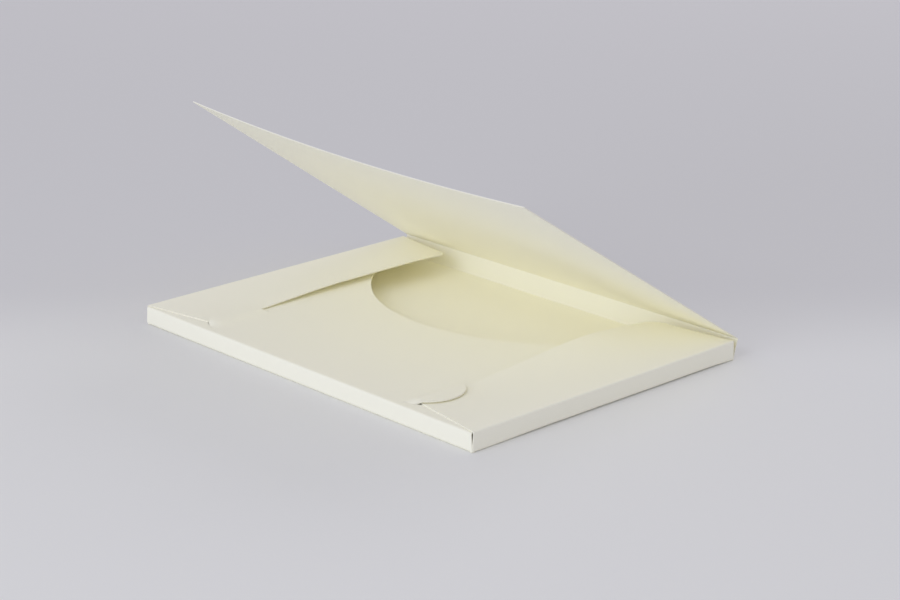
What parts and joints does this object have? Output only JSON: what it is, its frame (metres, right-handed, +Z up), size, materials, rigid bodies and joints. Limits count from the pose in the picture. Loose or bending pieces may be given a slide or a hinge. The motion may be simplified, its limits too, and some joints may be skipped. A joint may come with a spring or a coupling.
{
  "type": "photo folder",
  "caption": "Flat card folder for photographs: a shallow folded tray with side flaps, tuck tongues, an arc cut-out and a hinged back wall and cover.",
  "frame": {"origin": "centre of the tray's base, on its underside", "axes": "+X along the front wall, to the right seen from the front; +Y from the front wall towards the hinged back wall; +Z up out of the base"},
  "size_m": [0.216, 0.1598, 0.0992],
  "materials": {
    "card": "smooth uncoated cream card, matt"
  },
  "bodies": {
    "tray": {"tray": "card"},
    "spine": {"spine": "card"},
    "cover": {"cover": "card"}
  },
  "joints": [
    {"name": "spine_fold", "type": "hinge", "parent": "tray", "child": "spine", "pos_m": [0, 0.0783, 0.0002], "axis": [1, 0, 0], "range_deg": [-73, 17]},
    {"name": "cover_fold", "type": "hinge", "parent": "spine", "child": "cover", "pos_m": [0, 0.08114, 0.00948], "axis": [1, 0, 0], "range_deg": [-71, 10.5]}
  ]
}
